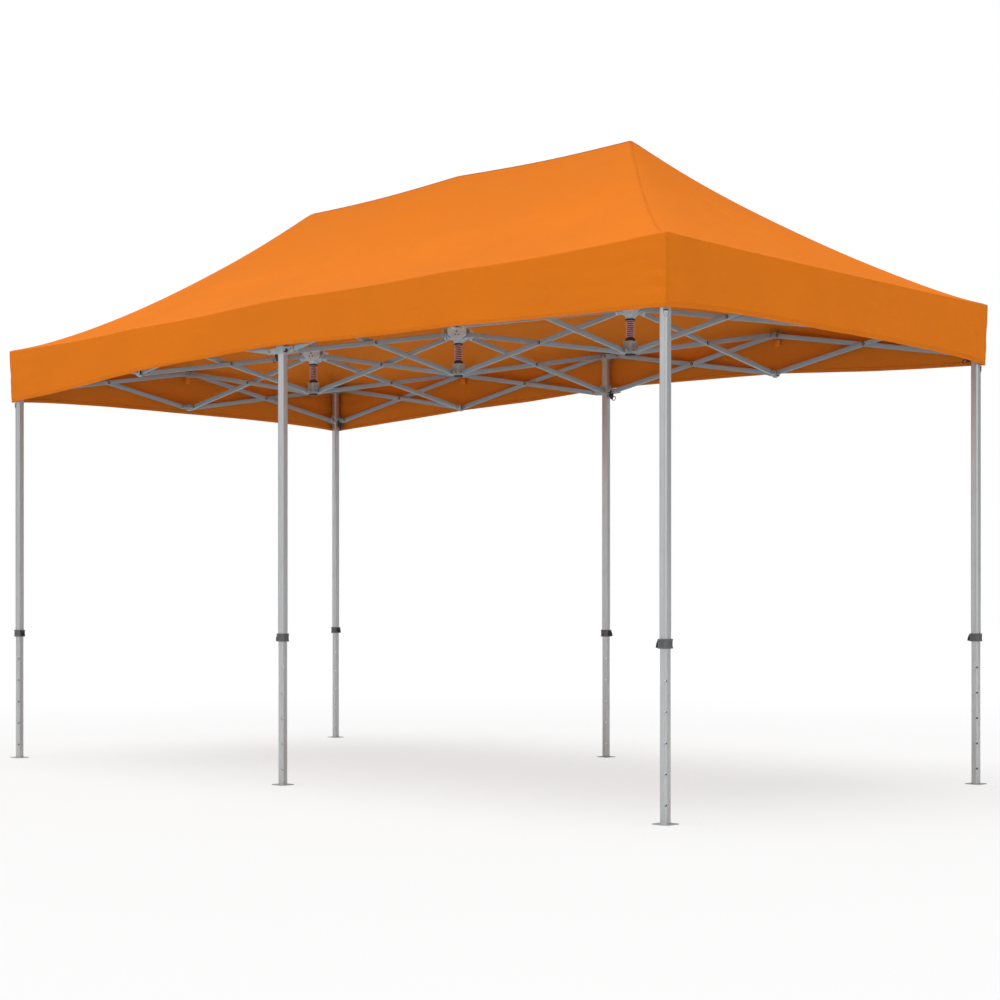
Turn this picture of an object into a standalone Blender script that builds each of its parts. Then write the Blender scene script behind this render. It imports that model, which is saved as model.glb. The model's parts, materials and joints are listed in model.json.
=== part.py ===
"""Pop-up canopy, 3 x 6 m: six telescoping legs, three masts and a scissor frame under a hipped roof.

Metres, +Z up. The origin is on the ground at the middle of the plan. +X runs along the long side and
-Y is the front. Every upright stands on one square grid, and each side of a grid square carries one
scissor: two crossed bars, one falling away from its starting node and one rising.
"""
from math import cos, hypot, pi, sin

import bmesh
import bpy
from mathutils import Matrix, Vector

# Plan
BAY = 1.475                  # from one grid line to the next, along both X and Y
COLUMNS = (-2, -1, 0, 1, 2)  # grid lines along X, in bays
ROWS = {"front": -1, "middle": 0, "back": 1}
ROOF_LENGTH, ROOF_WIDTH = 6.0, 3.05

# Heights
PEAK_Z = 3.87
EAVE_Z = 2.89
UPPER_PIN_Z = 2.855
LOWER_PIN_Z = 2.605
MAST_BOTTOM_Z = 2.565
CLAMP_BOTTOM_Z = 0.86
VALANCE_CORNER_DROP = 0.365
VALANCE_LONG_SIDE_DROP, VALANCE_END_DROP = 0.280, 0.335   # at the middle of a side
VALANCE_POWER = 3.0          # how late along a side the hem falls towards the corner

# Scissor bars: rectangular tube, cut square
BAR_DEPTH, BAR_THICKNESS, BAR_WALL = 0.031, 0.015, 0.0015
BAR_GAP = 0.0012             # between the two bars of a scissor
BAR_OVERHANG = 0.014         # past the pin at each end
RIVET_RADIUS, RIVET_HEIGHT = 0.010, 0.004
PIN_OFFSET = 0.10            # from a leg's axis to its pins along X; half of it elsewhere
SPAN = BAY - PIN_OFFSET      # between the pins of one scissor, the same in every bay

# Forked brackets
FORK_SLOT, FORK_CHEEK, FORK_DEPTH = 0.034, 0.005, 0.036
FORK_PAST_PIN = 0.012
HUB_SIZE, HUB_HEIGHT = 0.060, 0.070

# Legs: two square tubes with cut corners, one inside the other
OUTER_LEG, OUTER_CORNER = 0.049, 0.0090
LEG_BORE, BORE_CORNER = 0.0454, 0.0082
INNER_LEG, INNER_CORNER = 0.0446, 0.0080
INNER_BORE = 0.0410
LEG_TOP_Z = 2.877
INNER_LEG_TOP_Z = 1.62
CLAMP_SIZE, CLAMP_CORNER, CLAMP_HEIGHT = 0.066, 0.016, 0.048
CLAMP_LEVER = (0.014, 0.028, 0.036)
HOLE_RADIUS, HOLE_PITCH, FIRST_HOLE_Z, HOLES = 0.0055, 0.152, 0.095, 5
FOOT_SIZE, FOOT_THICKNESS = 0.100, 0.004

# Masts
MAST_TUBE, MAST_WALL = 0.050, 0.0015
MAST_TOP_GAP = 0.060
MAST_CAP_RADIUS, MAST_CAP_HEIGHT = 0.016, 0.022

# Roof cloth
CLOTH_THICKNESS = 0.004
ROOF_SAG_POWER = 1.30        # above 1 the slopes and hips hang in a hollow curve
ROOF_STEPS = 8               # from the ridge to an eave

CAST_GREY = (0.30, 0.31, 0.32, 1.0)
BAR_GREY = (0.42, 0.43, 0.44, 1.0)
SILVER = (0.72, 0.73, 0.74, 1.0)
ORANGE = (0.84, 0.22, 0.03, 1.0)

OVER = 0.002                 # how far a cutter runs past what it cuts


def material(name, colour, roughness, metallic):
    """One Principled material."""
    made = bpy.data.materials.new(name)
    made.use_nodes = True
    shader = made.node_tree.nodes["Principled BSDF"]
    shader.inputs["Base Color"].default_value = colour
    shader.inputs["Roughness"].default_value = roughness
    shader.inputs["Metallic"].default_value = metallic
    return made


def new_object(name, mesh, place=(0, 0, 0)):
    made = bpy.data.objects.new(name, mesh)
    made.location = place
    bpy.context.scene.collection.objects.link(made)
    return made


def box(size, centre):
    """A box as a loose object, ready to be joined or to cut."""
    bm = bmesh.new()
    bmesh.ops.create_cube(bm, size=1.0)
    bmesh.ops.scale(bm, vec=size, verts=bm.verts)
    bmesh.ops.translate(bm, vec=centre, verts=bm.verts)
    mesh = bpy.data.meshes.new("box")
    bm.to_mesh(mesh)
    bm.free()
    return new_object("box", mesh)


def prism(across, low, high, sides=8):
    """An upright prism, measured across its flats."""
    corner = 0.5 / cos(pi / sides)
    bm = bmesh.new()
    bmesh.ops.create_cone(bm, cap_ends=True, segments=sides, radius1=across * corner,
                          radius2=across * corner, depth=high - low)
    bmesh.ops.rotate(bm, cent=(0, 0, 0), matrix=Matrix.Rotation(pi / sides, 3, "Z"), verts=bm.verts)
    bmesh.ops.translate(bm, vec=(0, 0, (low + high) / 2), verts=bm.verts)
    mesh = bpy.data.meshes.new("prism")
    bm.to_mesh(mesh)
    bm.free()
    return new_object("prism", mesh)


def cut_square(across, corner, low, high):
    """An upright square bar with its four long corners cut."""
    bm = bmesh.new()
    bmesh.ops.create_cube(bm, size=1.0)
    bmesh.ops.scale(bm, vec=(across, across, high - low), verts=bm.verts)
    bmesh.ops.translate(bm, vec=(0, 0, (low + high) / 2), verts=bm.verts)
    uprights = [edge for edge in bm.edges if abs(edge.verts[0].co.z - edge.verts[1].co.z) > 0]
    bmesh.ops.bevel(bm, geom=uprights, offset=corner, segments=1, affect="EDGES")
    mesh = bpy.data.meshes.new("cut_square")
    bm.to_mesh(mesh)
    bm.free()
    return new_object("cut_square", mesh)


def rod(radius, length, centre, direction, sides=8):
    """A round rod lying along any direction."""
    bm = bmesh.new()
    bmesh.ops.create_cone(bm, cap_ends=True, segments=sides, radius1=radius, radius2=radius, depth=length)
    turn = Vector((0, 0, 1)).rotation_difference(Vector(direction)).to_matrix()
    bmesh.ops.rotate(bm, cent=(0, 0, 0), matrix=turn, verts=bm.verts)
    bmesh.ops.translate(bm, vec=centre, verts=bm.verts)
    mesh = bpy.data.meshes.new("rod")
    bm.to_mesh(mesh)
    bm.free()
    return new_object("rod", mesh)


def combine(base, others, operation):
    """Joins others to base, or cuts them from it, and leaves base as one plain mesh."""
    for other in others:
        step = base.modifiers.new(operation, "BOOLEAN")
        step.operation = operation
        step.object = other
    graph = bpy.context.evaluated_depsgraph_get()
    graph.update()
    mesh = bpy.data.meshes.new_from_object(base.evaluated_get(graph))
    base.modifiers.clear()
    base.data = mesh
    for other in others:
        bpy.data.objects.remove(other)
    return base


def finish(piece, name, place, look):
    """Names a piece, puts it in place and gives it its material."""
    piece.name = name
    piece.data.name = name
    piece.location = place
    piece.data.materials.clear()
    piece.data.materials.append(look)
    for home in list(piece.users_collection):
        home.objects.unlink(piece)
    PARTS.objects.link(piece)


def fork_arms(arms, height):
    """The boxes of a forked bracket's arms. arms lists (direction along X, along Y, pin distance)."""
    boxes, slots = [], []
    for along_x, along_y, pin in arms:
        reach = pin + FORK_PAST_PIN
        across = FORK_SLOT + 2 * FORK_CHEEK
        size = (reach, across, FORK_DEPTH) if along_x else (across, reach, FORK_DEPTH)
        boxes.append(box(size, (along_x * reach / 2, along_y * reach / 2, height)))
        start = pin - BAR_OVERHANG - BAR_DEPTH / 4
        middle, length = (start + reach + OVER) / 2, reach + OVER - start
        slot = (length, FORK_SLOT) if along_x else (FORK_SLOT, length)
        slots.append(box((*slot, FORK_DEPTH + 2 * OVER), (along_x * middle, along_y * middle, height)))
    return boxes, slots


def arms_at(column, row):
    """Which ways the frame leaves a node, with the pin's distance from the node's axis."""
    offset_x = PIN_OFFSET if row else PIN_OFFSET / 2
    ways = [(side, 0, offset_x) for side in (-1, 1) if column + side in COLUMNS]
    ways += [(0, side, PIN_OFFSET / 2) for side in (-1, 1) if row + side in ROWS.values()]
    return ways


def outer_leg(name, column, row):
    """Upper tube with its forked head at the top and the height clamp round its open foot."""
    tube = cut_square(OUTER_LEG, OUTER_CORNER, CLAMP_BOTTOM_Z, LEG_TOP_Z)
    hub = box((HUB_SIZE, HUB_SIZE, HUB_HEIGHT), (0, 0, UPPER_PIN_Z - HUB_HEIGHT / 2 + FORK_DEPTH / 2))
    collar = cut_square(CLAMP_SIZE, CLAMP_CORNER, CLAMP_BOTTOM_Z, CLAMP_BOTTOM_Z + CLAMP_HEIGHT)
    outward_x = 1 if column >= 0 else -1
    lever_x = outward_x * (CLAMP_SIZE / 2 + CLAMP_LEVER[0] / 3)
    lever = box(CLAMP_LEVER, (lever_x, 0, CLAMP_BOTTOM_Z + CLAMP_HEIGHT / 2))
    arms, slots = fork_arms(arms_at(column, row), UPPER_PIN_Z)
    leg = combine(tube, [hub, collar, lever, *arms], "UNION")
    bore = cut_square(LEG_BORE, BORE_CORNER, CLAMP_BOTTOM_Z - OVER, UPPER_PIN_Z - HUB_HEIGHT)
    combine(leg, [bore, *slots], "DIFFERENCE")
    finish(leg, name, (column * BAY, row * BAY, 0), SILVER_LOOK)


def inner_leg(name, column, row):
    """Lower tube with its row of adjustment holes, on a thin square foot plate."""
    plate = box((FOOT_SIZE, FOOT_SIZE, FOOT_THICKNESS), (0, 0, FOOT_THICKNESS / 2))
    tube = cut_square(INNER_LEG, INNER_CORNER, FOOT_THICKNESS / 2, INNER_LEG_TOP_Z)
    leg = combine(plate, [tube], "UNION")
    bore = prism(INNER_BORE, 2 * FOOT_THICKNESS, INNER_LEG_TOP_Z + OVER)
    across = Vector((1, -1, 0)).normalized()
    holes = [rod(HOLE_RADIUS, 2 * INNER_LEG, (0, 0, FIRST_HOLE_Z + step * HOLE_PITCH), across)
             for step in range(HOLES)]
    combine(leg, [bore, *holes], "DIFFERENCE")
    finish(leg, name, (column * BAY, row * BAY, 0), SILVER_LOOK)


def mast(name, column):
    """Roof mast: a round tube with a forked bracket, and a cap that carries the cloth."""
    top = PEAK_Z - MAST_TOP_GAP
    tube = prism(MAST_TUBE, MAST_BOTTOM_Z, top, sides=12)
    cap = prism(2 * MAST_CAP_RADIUS, top - OVER, top + MAST_CAP_HEIGHT, sides=12)
    hub = box((HUB_SIZE, HUB_SIZE, HUB_HEIGHT), (0, 0, UPPER_PIN_Z))
    arms, slots = fork_arms(arms_at(column, 0), UPPER_PIN_Z)
    whole = combine(tube, [cap, hub, *arms], "UNION")
    bore = prism(MAST_TUBE - 2 * MAST_WALL, MAST_BOTTOM_Z - OVER, top - MAST_TUBE, sides=12)
    combine(whole, [bore, *slots], "DIFFERENCE")
    finish(whole, name, (column * BAY, 0, 0), CAST_LOOK)


def bar(name, start, end, side):
    """One scissor bar between two pins. side is the direction to its layer, away from its partner."""
    start, end, side = Vector(start), Vector(end), Vector(side)
    along = end - start
    length = along.length + 2 * BAR_OVERHANG
    tube = box((length, BAR_THICKNESS, BAR_DEPTH), (0, 0, 0))
    rivet = rod(RIVET_RADIUS, RIVET_HEIGHT + BAR_WALL, (0, BAR_THICKNESS / 2 + (RIVET_HEIGHT - BAR_WALL) / 2, 0),
                (0, 1, 0), sides=10)
    combine(tube, [rivet], "UNION")
    combine(tube, [box((length + 2 * OVER, BAR_THICKNESS - 2 * BAR_WALL, BAR_DEPTH - 2 * BAR_WALL), (0, 0, 0))],
            "DIFFERENCE")
    forward = along.normalized()
    upward = forward.cross(side)
    if upward.z < 0:
        forward, upward = -forward, -upward
    turn = Matrix((forward, side, upward)).transposed()
    tube.rotation_euler = turn.to_euler()
    layer = side * (BAR_THICKNESS + BAR_GAP) / 2
    finish(tube, name, (start + end) / 2 + layer, BAR_LOOK)


def scissor(name, start, direction, offset):
    """The falling and the rising bar of one scissor. offset is from the node to the first pins."""
    start, direction = Vector((*start, 0)), Vector((*direction, 0))
    near = start + direction * offset
    far = near + direction * SPAN
    high, low = Vector((0, 0, UPPER_PIN_Z)), Vector((0, 0, LOWER_PIN_Z))
    side = Vector((0, 1, 0)) if direction.x else Vector((1, 0, 0))
    bar(name + "_falling", near + high, far + low, side)
    bar(name + "_rising", near + low, far + high, -side)


def roof_height(x, y):
    """Height of the cloth: level along the ridge, falling in a hollow curve to the eaves."""
    down_slope = abs(y) / (ROOF_WIDTH / 2)
    down_hip = max(0.0, abs(x) - BAY) / (ROOF_LENGTH / 2 - BAY)
    return EAVE_Z + (PEAK_Z - EAVE_Z) * (1 - max(down_slope, down_hip)) ** ROOF_SAG_POWER


def valance_drop(x, y):
    """How far the valance hangs: it falls away towards the corners, more so on the long sides."""
    on_long_side = abs(abs(y) - ROOF_WIDTH / 2) < OVER
    share = abs(x) / (ROOF_LENGTH / 2) if on_long_side else abs(y) / (ROOF_WIDTH / 2)
    middle = VALANCE_LONG_SIDE_DROP if on_long_side else VALANCE_END_DROP
    return middle + (VALANCE_CORNER_DROP - middle) * share ** VALANCE_POWER


def is_eave(edge):
    """True for the outer edges of the quarter roof."""
    ends = [vertex.co for vertex in edge.verts]
    return any(all(abs(end[axis] - reach) < OVER for end in ends)
               for axis, reach in ((0, ROOF_LENGTH / 2), (1, ROOF_WIDTH / 2)))


def canopy():
    """Roof and valance as one thin closed shell, open below: a quarter, mirrored both ways."""
    hip_run = ROOF_LENGTH / 2 - BAY
    bm = bmesh.new()
    bmesh.ops.create_grid(bm, x_segments=2 * ROOF_STEPS, y_segments=ROOF_STEPS, size=0.5)
    for vertex in bm.verts:
        share_x, share_y = vertex.co.x + 0.5, vertex.co.y + 0.5
        x = min(share_x, 0.5) * 2 * BAY + max(0.0, share_x - 0.5) * 2 * hip_run
        y = share_y * ROOF_WIDTH / 2
        vertex.co = (x, y, roof_height(x, y))
    bmesh.ops.triangulate(bm, faces=bm.faces, quad_method="FIXED")
    eaves = [edge for edge in bm.edges if edge.is_boundary and is_eave(edge)]
    hem = bmesh.ops.extrude_edge_only(bm, edges=eaves)["geom"]
    for vertex in (part for part in hem if isinstance(part, bmesh.types.BMVert)):
        vertex.co.z -= valance_drop(vertex.co.x, vertex.co.y)
    bmesh.ops.recalc_face_normals(bm, faces=bm.faces)
    if max(bm.faces, key=lambda face: face.calc_center_median().z).normal.z < 0:
        bmesh.ops.reverse_faces(bm, faces=bm.faces)
    mesh = bpy.data.meshes.new("canopy")
    bm.to_mesh(mesh)
    bm.free()
    cloth = new_object("canopy", mesh)
    mirror = cloth.modifiers.new("other_quarters", "MIRROR")
    mirror.use_axis = (True, True, False)
    mirror.merge_threshold = 0.0001
    shell = cloth.modifiers.new("thickness", "SOLIDIFY")
    shell.thickness = CLOTH_THICKNESS
    shell.offset = -1.0
    finish(cloth, "canopy", (0, 0, 0), CLOTH_LOOK)


for old in list(bpy.data.objects):
    bpy.data.objects.remove(old)
PARTS = bpy.data.collections.new("pop_up_canopy")
bpy.context.scene.collection.children.link(PARTS)
SILVER_LOOK = material("silver_aluminium", SILVER, 0.35, 0.9)
BAR_LOOK = material("grey_aluminium", BAR_GREY, 0.45, 0.8)
CAST_LOOK = material("cast_grey", CAST_GREY, 0.5, 0.6)
CLOTH_LOOK = material("orange_cloth", ORANGE, 0.8, 0.0)

COLUMN_NAMES = {-2: "left", 0: "centre", 2: "right"}
for row_name in ("front", "back"):
    for leg_column, column_name in COLUMN_NAMES.items():
        outer_leg(f"outer_leg_{row_name}_{column_name}", leg_column, ROWS[row_name])
        inner_leg(f"inner_leg_{row_name}_{column_name}", leg_column, ROWS[row_name])
for mast_column, column_name in ((-1, "left"), (0, "centre"), (1, "right")):
    mast(f"mast_{column_name}", mast_column)

# Lengthwise scissors run outward from the middle column, so that each side mirrors the other.
for row_name, row_place in ROWS.items():
    for outward, side_name in ((-1, "left"), (1, "right")):
        first = PIN_OFFSET if row_place else PIN_OFFSET / 2
        scissor(f"long_{row_name}_{side_name}_inner", (0, row_place * BAY), (outward, 0), first)
        second = BAY + (0 if row_place else PIN_OFFSET / 2)
        scissor(f"long_{row_name}_{side_name}_outer", (0, row_place * BAY), (outward, 0), second)

# Crosswise scissors run outward from the middle row.
for column_place in COLUMNS:
    for outward, side_name in ((-1, "front"), (1, "back")):
        scissor(f"cross_{column_place + 3}_{side_name}", (column_place * BAY, 0), (0, outward), PIN_OFFSET / 2)
canopy()
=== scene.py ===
"""Looks of the 3 x 6 m pop-up canopy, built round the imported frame. Metres, +Z up, -Y the front."""
import json
from math import cos, hypot, pi, radians, sin, tau

import bmesh
import bpy
import numpy as np
from mathutils import Matrix, Vector


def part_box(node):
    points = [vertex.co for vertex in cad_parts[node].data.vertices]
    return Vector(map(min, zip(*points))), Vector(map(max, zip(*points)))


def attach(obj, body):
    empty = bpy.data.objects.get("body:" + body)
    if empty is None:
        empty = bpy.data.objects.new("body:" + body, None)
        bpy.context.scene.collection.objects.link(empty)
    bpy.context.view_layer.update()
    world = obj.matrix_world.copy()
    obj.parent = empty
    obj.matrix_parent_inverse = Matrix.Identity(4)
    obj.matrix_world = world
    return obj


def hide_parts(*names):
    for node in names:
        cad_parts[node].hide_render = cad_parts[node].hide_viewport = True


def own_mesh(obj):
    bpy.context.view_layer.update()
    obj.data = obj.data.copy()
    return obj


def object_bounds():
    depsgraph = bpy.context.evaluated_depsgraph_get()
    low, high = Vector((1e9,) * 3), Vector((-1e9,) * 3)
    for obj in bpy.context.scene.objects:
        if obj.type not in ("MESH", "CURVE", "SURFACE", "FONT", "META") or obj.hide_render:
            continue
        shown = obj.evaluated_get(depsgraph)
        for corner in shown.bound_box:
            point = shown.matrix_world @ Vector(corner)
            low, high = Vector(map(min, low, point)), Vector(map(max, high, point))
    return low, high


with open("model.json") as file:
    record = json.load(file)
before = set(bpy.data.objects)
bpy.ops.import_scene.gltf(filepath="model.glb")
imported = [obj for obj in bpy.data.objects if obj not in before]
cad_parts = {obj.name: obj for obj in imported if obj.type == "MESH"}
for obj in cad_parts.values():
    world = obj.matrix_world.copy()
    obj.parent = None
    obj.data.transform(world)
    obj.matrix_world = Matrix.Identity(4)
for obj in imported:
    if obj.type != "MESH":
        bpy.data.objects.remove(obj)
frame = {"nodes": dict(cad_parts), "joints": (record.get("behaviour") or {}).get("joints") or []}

CAD_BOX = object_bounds()
JOINTS = {joint["name"]: joint for joint in frame["joints"]}


def middle(node):
    low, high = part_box(node)
    return (low + high) / 2


# Plan: nodes one bay apart. Legs stand at even columns of the outer rows, masts in the middle row.
BAY = middle("mast_right").x
COLUMNS, ROWS = (-2, -1, 0, 1, 2), (-1, 0, 1)
COLUMN_NAMES = {-2: "left", -1: "half_left", 0: "centre", 1: "half_right", 2: "right"}
ROW_NAMES = {-1: "front", 0: "middle", 1: "back"}
FREE_NODES = ((-1, -1), (1, -1), (-1, 1), (1, 1), (-2, 0), (2, 0))
SIDES = (-1, 1)


def node_name(column, row):
    return f"{ROW_NAMES[row]}_{COLUMN_NAMES[column]}"


# Heights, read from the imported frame
HIGH_PIN = JOINTS["frame_fold"]["pos_m"][2]
LOW_PIN = 2 * JOINTS["cross_3_front_rising_turn"]["pos_m"][2] - HIGH_PIN
HALF_X, HALF_Y = CAD_BOX[1].x, CAD_BOX[1].y
PEAK = CAD_BOX[1].z
EAVE = 2.89
CLAMP_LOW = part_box("outer_leg_front_left")[0].z
LEG_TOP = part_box("outer_leg_front_left")[1].z
INNER_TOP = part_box("inner_leg_front_left")[1].z

# Scissor bars
BAR_DEPTH, BAR_THICK, BAR_WALL, BAR_FILLET = 0.031, 0.015, 0.0015, 0.003
BAR_PAST_PIN = 0.014
LAYER = 0.0081               # from a scissor's plane to the middle of one of its bars
PLUG, PLUG_SUNK = 0.022, 0.0015

# How far things travel when the frame is folded right up
FOLD = radians(JOINTS["frame_fold"]["range_deg"][1])
REACH = (JOINTS["cross_3_front_rising_turn"]["pos_m"][1] - JOINTS["frame_fold"]["pos_m"][1]) * -2
RISE = HIGH_PIN - LOW_PIN
BAR_SPAN = hypot(REACH, RISE)
FOLDED_ANGLE = FOLD + np.arctan2(RISE, REACH)
LOW_TRAVEL = RISE - BAR_SPAN * sin(FOLDED_ANGLE)
IN_TRAVEL = BAR_SPAN * cos(FOLDED_ANGLE) - REACH

# Brackets: every arm is two cheeks either side of a slot for the bars
SLOT, CHEEK = 0.034, 0.005
HUB = 0.056                  # across the square block of a bracket
BOSS = 0.0018                # how far a boss stands out of its cheek
NODE_TO_PIN, LEG_TO_LONG_PIN = 0.05, 0.10
HEAD_ARM, SLIDER_ARM = (0.015, 0.034, 0.026), (0.018, 0.040, 0.031)     # past its pin, deep at root and tip
FREE_ARM, FOOT_ARM = (0.016, 0.038, 0.029), (0.018, 0.038, 0.034)
ARM_X, ARM_Y = 0.091, 0.120  # tips of a mast's upper bracket; masts fold 0.19 m apart
ARM_ROOT, ARM_TIP, ARM_SLOPE = 0.066, 0.072, 0.024
BLOCK_HALF, RIM = 0.033, 0.005                 # of sliders and mast feet, and how much wider their rim is
SLIDER_BELOW, SLIDER_ABOVE, FOOT_BELOW, FOOT_ABOVE = 0.021, 0.046, 0.016, 0.061      # their pins
RIVETS = ((0, 0.010), (-0.011, -0.009), (0.011, -0.009))

# Legs: (across, cut corner) of each square tube, outside and inside
OUTER_TUBE, INNER_TUBE = ((0.049, 0.0090), (0.0456, 0.0083)), ((0.0446, 0.0080), (0.0412, 0.0075))
HOLE, FIRST_HOLE, HOLE_PITCH, HOLES = 0.0055, 0.095, 0.152, 5
FOOT, FOOT_HOLE, FOOT_HOLE_AT = 0.100, 0.0048, 0.037
CLAMP, CLAMP_RIM, CLAMP_TALL, CLAMP_RIM_TALL, CLAMP_CORNER = 0.064, 0.067, 0.048, 0.009, 0.014
CLAMP_BORE = (0.0462, 0.0084)
LEVER_HALF = 0.014
SLIDER_BORE = (0.0502, 0.0092)
STRAP_PLATE, STRAP_PLATE_OUT = 2.500, 0.0283

# Masts
MAST_RADIUS, MAST_BORE = 0.025, 0.94
MAST_TOP = PEAK - 0.018
SPRING_LOW, SPRING_HIGH = 2.683, 2.788
SPRING_RADIUS, SPRING_WIRE_RADIUS, SPRING_TURNS, SPRING_STEPS = 0.0232, 0.0033, 9, 20

# Roof cloth
SAG_POWER = 1.285
CROWN = 0.006                # rounds the ridge and the peaks
RIDGE_ARCH = 0.027           # how much higher the ridge runs at the centre mast
BACK_FULLNESS = 0.036        # the back is stretched a little less than the front
CELLS, RIDGE_CELLS = 64, 62  # from the ridge to an eave; along the ridge from the centre to a side mast
FOLD_RADIUS = 0.007          # of the bend from the roof into the valance
HIP_SOFTNESS, HIP_TURN = 0.32, 0.08
RIDGE_DIP, RIDGE_DIP_REACH = 0.020, 0.5
INNER_DIP, OUTER_DIP, END_DIP, EAVE_REACH = 0.003, 0.013, 0.007, 0.32
LEG_LIFT, LEG_LIFT_REACH = 0.016, 0.6
PULL, FAN = 0.0022, 0.0018
CORNER_DROP, LONG_SIDE_DROP, END_DROP = 0.368, 0.275, 0.327
UNEVEN = 0.013               # the hem's slow rise and fall along a long side
LEAN, WAVE = 0.010, 0.0034   # of the valance, inward and to and fro
GATHER, GATHER_REACH = 0.0035, 0.16
DRAG, DRAG_REACH = 0.0036, 0.45
SHARES = (0.0, 0.02, 0.06, *(0.11 + 0.06 * step for step in range(15)), 1.0)
CLOTH_THICK, BAND_THICK, CORNER_BAND_THICK, PATCH_THICK, TAB_THICK = 0.0014, 0.0020, 0.0016, 0.0012, 0.0024
ON_CLOTH = 0.0004            # how far a seam's middle lies above the cloth
SEAM_MARKS, CORNER_MARKS = (-0.0065, -0.003, 0.0, 0.003, 0.0065), (-0.005, 0.0, 0.005)
HEM, HEM_MARKS = 0.026, (-0.013, -0.0065, 0.0, 0.0065, 0.013)
HIP_STEPS, RIDGE_STEPS, CORNER_STEPS, CORNER_SEAM = 90, 120, 24, 0.90
PATCH, PATCH_RINGS, PATCH_SIDES, PATCH_BELOW = 0.14, 7, 32, 0.003
TAB_HALF, TAB_SWING, TAB_IN = 0.019, 0.003, 0.016
TAB_PROFILE = ((-0.002, -0.045), (-0.008, -0.065), (-0.011, -0.085), (-0.008, -0.102))
CLOTH = (0.89, 0.225, 0.012)
STITCH, STITCH_SHARE, STITCH_ROW, THREAD = 0.0045, 0.68, 0.0042, 0.0011

# Stage, lights and camera
SKY = 0.36
FLOOR_REACH, FLOOR_BELOW, FLOOR_SIDES = 90.0, 0.0005, 96
FLOOR_GLOW, FLOOR_FADE, GLOW_STRENGTH = 0.66, (5.0, 14.0), 1.03
SUNS = (("key", (-0.08, -0.14, 0.97), 1.93, 50), ("fill", (1.0, -0.7, 0.15), 0.5, 60),
        ("front", (-0.65, -0.8, 0.12), 0.17, 36))
CAMERA_AT, CAMERA_TURN = (8.719, -8.547, 1.049), 0.773
LENS, SENSOR, SHIFT_UP = 66.9, 36, 0.11

# ---------------------------------------------------------------- shapes


class Shape:
    """Points and faces gathered for one mesh; each face knows its material's index."""

    def __init__(self, points=(), faces=()):
        self.points, self.faces, self.looks = [], [], []
        self.add((points, faces))

    def add(self, part, place=Matrix(), look=0):
        points, faces = part
        first = len(self.points)
        self.points += [place @ Vector(point) for point in points]
        self.faces += [[first + index for index in face] for face in faces]
        self.looks += [look] * len(faces)

    def add_all(self, parts, place, look):
        for part in parts:
            self.add(part, place, look)

    def mesh(self, name, looks, sharp=32):
        fresh = bpy.data.meshes.new(name)
        fresh.from_pydata(self.points, [], self.faces)
        fresh.polygons.foreach_set("material_index", self.looks)
        for look in looks:
            fresh.materials.append(look)
        bm = bmesh.new()
        bm.from_mesh(fresh)
        bmesh.ops.recalc_face_normals(bm, faces=bm.faces)
        bm.to_mesh(fresh)
        bm.free()
        fresh.shade_smooth()
        fresh.set_sharp_from_angle(angle=radians(sharp))
        return fresh


def loft(rings, looped=False):
    """Skins a row of rings of points; capped at both ends unless it closes on itself."""
    sides, count = len(rings[0]), len(rings)
    points = [point for ring in rings for point in ring]
    faces = []
    for step in range(count if looped else count - 1):
        here, there = step * sides, (step + 1) % count * sides
        faces += [(here + side, here + (side + 1) % sides, there + (side + 1) % sides, there + side)
                  for side in range(sides)]
    if not looped:
        faces += [tuple(reversed(range(sides))), tuple(range(len(points) - sides, len(points)))]
    return points, faces


def ribbon(rails):
    """An open sheet across a row of lines of points."""
    columns = len(rails[0])
    return [point for rail in rails for point in rail], [
        [row * columns + k, row * columns + k + 1, (row + 1) * columns + k + 1, (row + 1) * columns + k]
        for row in range(len(rails) - 1) for k in range(columns - 1)]


def circle(radius, sides=24):
    return [(radius * cos(tau * side / sides), radius * sin(tau * side / sides)) for side in range(sides)]


def lathe(profile, sides=24):
    """Turns (radius, height) pairs about Z."""
    return loft([[(x, y, height) for x, y in circle(radius, sides)] for radius, height in profile])


def filleted(corners, radius, steps=3):
    """A flat outline with each corner rounded off."""
    corners = [Vector(corner) for corner in corners]
    outline = []
    for index, corner in enumerate(corners):
        before, after = corners[index - 1], corners[(index + 1) % len(corners)]
        cut = min(radius, (before - corner).length * 0.45, (after - corner).length * 0.45)
        start = corner + (before - corner).normalized() * cut
        end = corner + (after - corner).normalized() * cut
        for step in range(steps + 1):
            share = step / steps
            outline.append(start * (1 - share) ** 2 + corner * 2 * share * (1 - share) + end * share ** 2)
    return outline


def rectangle(width, height, radius, steps=3):
    x, y = width / 2, height / 2
    return filleted([(-x, -y), (x, -y), (x, y), (-x, y)], radius, steps)


def cut_square(across, corner, radius=0.0015):
    """A square with its corners cut, each bend slightly rounded."""
    half, flat = across / 2, across / 2 - corner
    return filleted([(-flat, -half), (flat, -half), (half, -flat), (half, flat),
                     (flat, half), (-flat, half), (-half, flat), (-half, -flat)], radius, 2)


def shrunk(outline, depth):
    """A counter-clockwise outline moved inward."""
    moved = []
    for index, here in enumerate(outline):
        back = (here - outline[index - 1]).normalized()
        ahead = (outline[(index + 1) % len(outline)] - here).normalized()
        inward = Vector((-back.y - ahead.y, back.x + ahead.x)).normalized()
        moved.append(here + inward * depth / max(0.5, inward.dot(Vector((-back.y, back.x)))))
    return moved


def level(outline, height):
    return [(point.x, point.y, height) for point in outline]


def slab(outline, low, high, edge=0.0008):
    """A solid plate of any outline with its edges broken."""
    inner = shrunk(outline, edge)
    return loft([level(inner, low), level(outline, low + edge),
                 level(outline, high - edge), level(inner, high)])


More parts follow.
